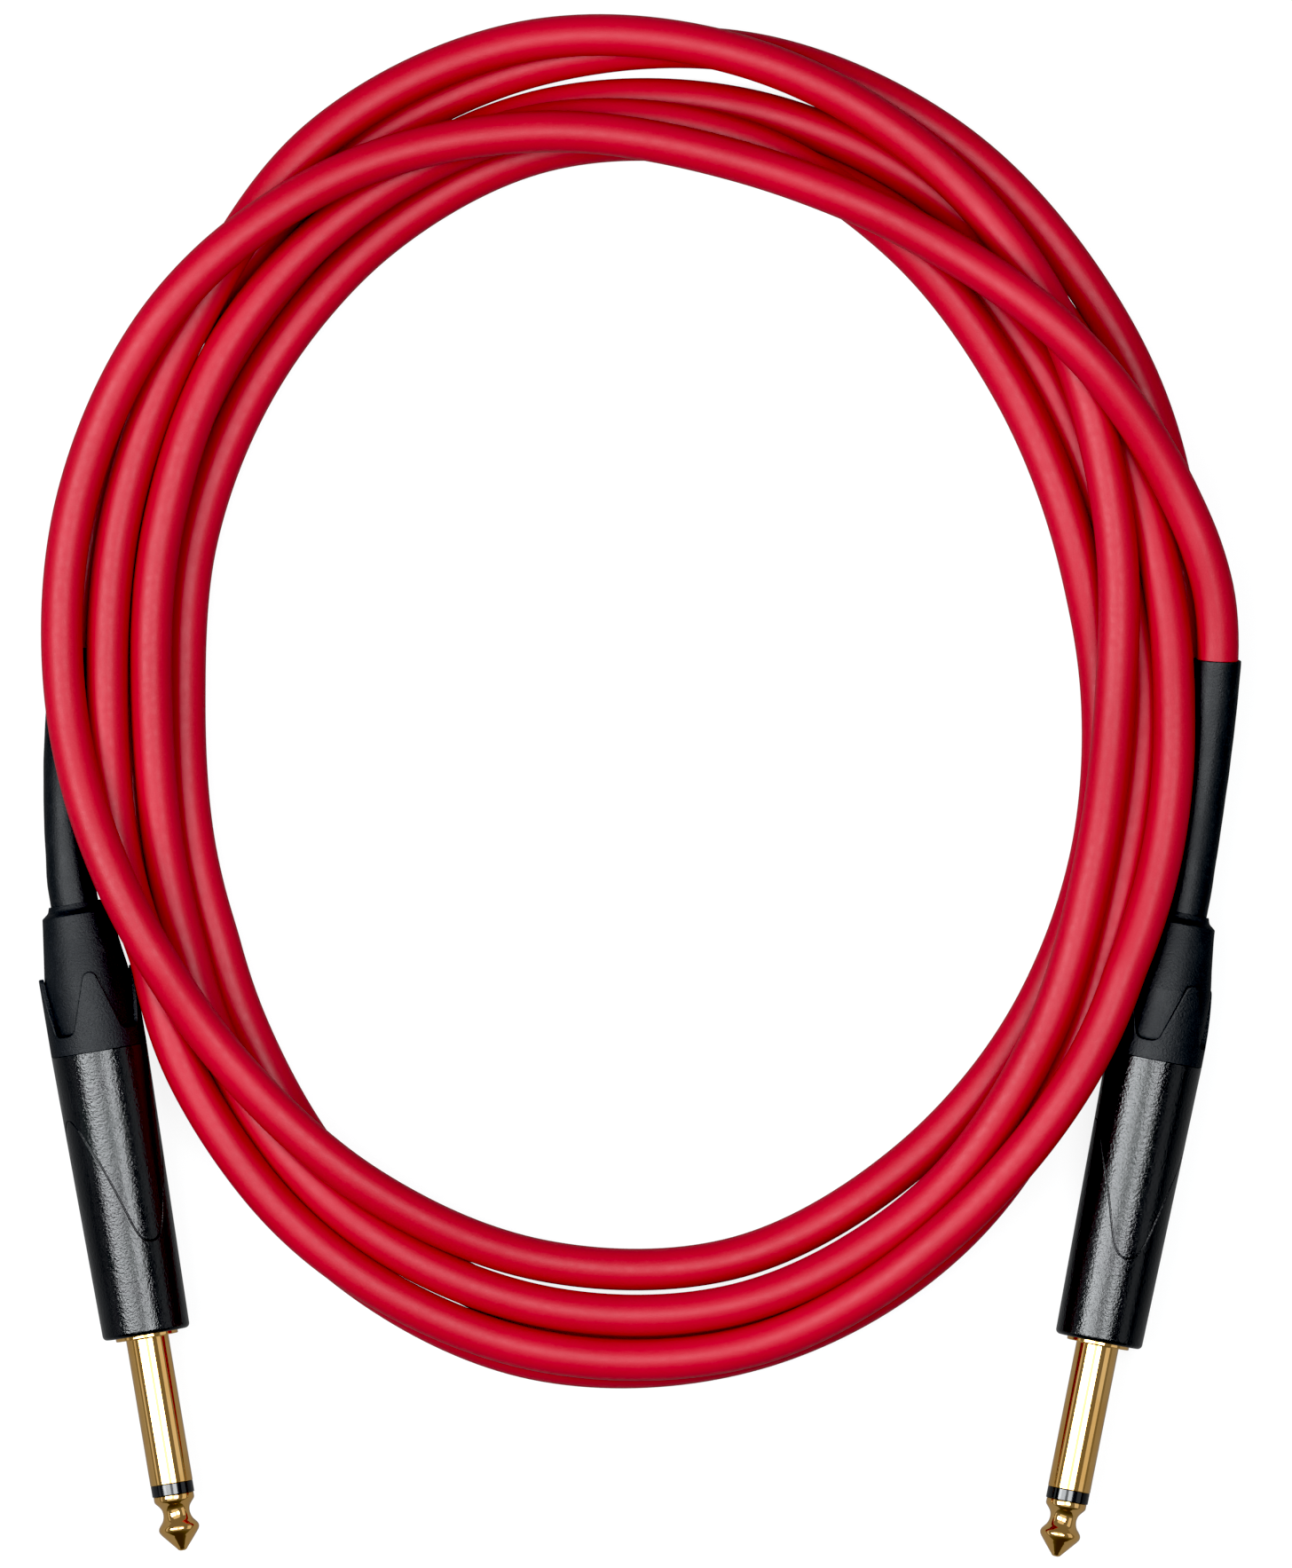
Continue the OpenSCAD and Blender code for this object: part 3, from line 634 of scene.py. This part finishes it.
def nut(side):
    """Toothed ring: four round valleys that open into waves towards the cable."""
    bore_r, corner_r, peak_r, tall, teeth = 6.45, 1.5, 1.15, 9.0, 4
    floor = 0.6         # half the width of the flat floor of a valley
    edge_r = 0.22       # rounding of the teeth's outer edge
    spigot_at, spigot_r, spigot_bore = 70.2, 5.7, 4.5
    pocket_at, pocket_r = 76.0, 5.3
    # Unlike the CAD's nut, it leaves no gap behind the shell for the table to shine through
    face = SHELL_END + 0.02
    front = NUT_AT + 0.2
    half_pitch = math.pi * NUT_R / teeth
    run, rise = half_pitch - floor, tall - peak_r - corner_r
    slant = math.atan2(rise, run) - math.acos((corner_r + peak_r) / math.hypot(run, rise))
    # (across, along, and the edge's own outward way) from a valley to the next peak
    edge = [(floor * k / 3, 0.0, 0.0, 1.0) for k in range(3)]
    for k in range(13):
        a = -math.pi / 2 + (slant + math.pi / 2) * k / 12
        edge.append((floor + corner_r * math.cos(a), corner_r + corner_r * math.sin(a),
                     -math.cos(a), -math.sin(a)))
    flank_end = (half_pitch - peak_r * math.cos(slant), tall - peak_r - peak_r * math.sin(slant))
    x0, z0, nx, nz = edge[-1]
    for k in range(1, 12):
        edge.append((x0 + (flank_end[0] - x0) * k / 12, z0 + (flank_end[1] - z0) * k / 12, nx, nz))
    for k in range(13):
        a = math.pi + slant - (math.pi / 2 + slant) * k / 12
        edge.append((half_pitch + peak_r * math.cos(a), tall - peak_r + peak_r * math.sin(a),
                     math.cos(a), math.sin(a)))
    period = edge + [(2 * half_pitch - x, z, -a, b) for x, z, a, b in reversed(edge[1:-1])]
    columns = [(math.radians(VALLEYS[side] + 360 / teeth * i) + x / NUT_R, NUT_END - tall + z, a, b)
               for i in range(teeth) for x, z, a, b in period][::-1]

    def even(t, r):
        return [plug_point(side, t, r, phi) for phi, _, _, _ in columns]

    def edge_row(share, inset, r):
        """share of the way from the ring at front to the teeth's edge, less inset."""
        row = []
        for phi, t, a, b in columns:
            t, p = t - inset * b, phi - inset * a / NUT_R
            row.append(plug_point(side, front + share * (t - front), r, phi + share * (p - phi)))
        return row

    rows = [even(t, r) for t, r in fillets(
        [(spigot_at, spigot_bore, 0), (spigot_at, spigot_r, 0.3), (face, spigot_r, 0),
         (face, NUT_R, 0.06), (front, NUT_R, 0)])]
    rows += [edge_row(share, 0.25, NUT_R) for share in (0.2, 0.45, 0.7, 0.85, 0.95, 1.0)]
    for k in range(1, 6):
        a = math.pi / 2 * k / 5
        rows.append(edge_row(1.0, edge_r * (1 - math.sin(a)), NUT_R - edge_r * (1 - math.cos(a))))
    rows += [edge_row(1.0, 0.0, bore_r), edge_row(1.0, 0.0, bore_r - 0.01)]
    rows += [even(t, r) for t, r in ((BOOT_AT, bore_r - 0.01), (BOOT_AT, pocket_r),
                                     (pocket_at, pocket_r), (pocket_at, spigot_bore))]
    return finish_piece(f"{side}_nut", *skin(rows, closed_rows=True), "hard_black_plastic",
                        f"{side}_bushing", [f"{side}_bushing_nut"])


def shrink(side):
    """Sleeve shrunk on the cable, from inside the boot to a square cut 38 mm behind it."""
    step, bore = 0.7, CABLE_R + 0.03
    line = cable_line if side == "right" else cable_line[::-1]
    inside = np.array([plug_point(side, SHRINK_AT + k) for k in np.arange(0, 8.1, 2)])
    line = np.vstack([inside, line])
    stop = BOOT_END - SHRINK_AT + SHRINK_LEN
    outer = [(at, SHRINK_R + 0.02 * math.sin(0.9 * at) * math.sin(0.23 * at + 1))
             for at in np.arange(0.3, stop - 0.4, step)]
    lip = [(stop - 0.25, SHRINK_R), (stop - 0.12, SHRINK_R - 0.01), (stop - 0.04, SHRINK_R - 0.05),
           (stop, SHRINK_R - 0.14), (stop, CABLE_R + 0.06)]
    inner = [(at, bore) for at in np.arange(stop - 0.5, 0.3, -step)]
    outline = [(0.0, bore), (0.0, SHRINK_R - 0.1), (0.1, SHRINK_R), *outer, *lip, *inner]
    return tube(f"{side}_sleeve_on_cable", line, outline, 48, "shrink_sleeve", "cable",
                [f"{side}_heat_shrink"])


for side in TIPS:
    for build in (tip, sleeve, ring, shell, boot, nut):
        build(side)
shrinks = [shrink(side) for side in TIPS]

# ------------------------------------------------------------------ the cable

cable = tube("cable", cable_line, [(s, CABLE_R) for s in cable_s], 32, "red_jacket", "cable",
             ["left_lead", "right_lead", "cable_coil"], caps=True)

# ------------------------------------------------------------------ CAD nodes that stay

SLOTS = {row["node"]: row["material_slot"] for row in frame["record"]["subparts"]}
for name, node in frame["nodes"].items():
    for material_slot in node.material_slots:
        material_slot.material = PAINTS[SLOTS[name]]

# ------------------------------------------------------------------ table and light


def table():
    """White to the camera; grey to everything that mirrors it."""
    far = 6    # metres from the middle to each side
    mesh = bpy.data.meshes.new("table")
    mesh.from_pydata([(-far, -far, 0), (far, -far, 0), (far, far, 0), (-far, far, 0)], [],
                     [(0, 1, 2, 3)])
    top = bpy.data.objects.new("table", mesh)
    top.location = (0, 0, -0.0001)
    SCENE.collection.objects.link(top)
    p = Paint("table", Roughness=0.8, IOR=1.2)
    seen = p.node("ShaderNodeLightPath").outputs["Is Camera Ray"]
    p.set(Base_Color=p.mix(seen, (0.09, 0.09, 0.09), (0.16, 0.16, 0.16)),
          Emission_Color=(1.0, 1.0, 1.0), Emission_Strength=p.ramp(seen, 0, 1, 0.15, 0.86))
    mesh.materials.append(p.material)


LIGHT_FAR, LIGHT_Y = 2.0, 0.065    # from the coil to each lamp, and the coil's middle, in metres


def softbox(name, start, stop, reach, radiance):
    """Lamp over the angles from start to stop, in degrees from straight up towards +X.

    Along Y it reaches as many degrees to both sides as reach says.
    """
    width = 2 * LIGHT_FAR * math.tan(math.radians(stop - start) / 2)
    length = 2 * LIGHT_FAR * math.tan(math.radians(reach))
    data = bpy.data.lights.new(name, "AREA")
    data.shape, data.size, data.size_y = "RECTANGLE", width, length
    data.energy = radiance * math.pi * width * length
    data.color = (0.94, 0.975, 1.0)
    lamp = bpy.data.objects.new(name, data)
    turn = math.radians(start + stop) / 2
    lamp.location = (LIGHT_FAR * math.sin(turn), LIGHT_Y, LIGHT_FAR * math.cos(turn))
    lamp.rotation_euler = (0, turn, 0)
    lamp.visible_camera = False
    SCENE.collection.objects.link(lamp)


def room():
    """World that is dim, and darker beyond the plugs' tips; only the camera sees it white."""
    world = bpy.data.worlds.new("studio")
    world.use_nodes = True
    SCENE.world = world
    tree = world.node_tree
    background = tree.nodes["Background"]
    background.inputs["Color"].default_value = (1, 1, 1, 1)
    way = tree.nodes.new("ShaderNodeSeparateXYZ")
    tree.links.new(tree.nodes.new("ShaderNodeTexCoord").outputs["Generated"], way.inputs[0])
    dim = tree.nodes.new("ShaderNodeMapRange")
    tree.links.new(way.outputs["Y"], dim.inputs["Value"])
    for socket, value in (("From Min", -0.95), ("From Max", -0.45), ("To Min", 0.05),
                          ("To Max", 0.20)):
        dim.inputs[socket].default_value = value
    glow = tree.nodes.new("ShaderNodeMapRange")
    seen = tree.nodes.new("ShaderNodeLightPath").outputs["Is Camera Ray"]
    tree.links.new(seen, glow.inputs["Value"])
    tree.links.new(dim.outputs["Result"], glow.inputs["To Min"])
    glow.inputs["To Max"].default_value = 1.0
    tree.links.new(glow.outputs["Result"], background.inputs["Strength"])


table()
room()
softbox("key_left", -51, -36, 12.5, 13.0)
softbox("key_inner", -36, -12, 12.5, 8.6)
softbox("key_middle", -12, 2, 12.5, 1.5)
softbox("key_right", 2, 24, 12.5, 9.8)
softbox("fill", -40, 20, 38, 0.6)
softbox("card_right", 50, 76, 30, 0.50)
softbox("card_left", -80, -70, 30, 0.42)
view = SCENE.view_settings
view.view_transform = "Standard"
view.use_curve_mapping = True
view.curve_mapping.black_level = (0.02, 0.02, 0.02)
view.curve_mapping.update()
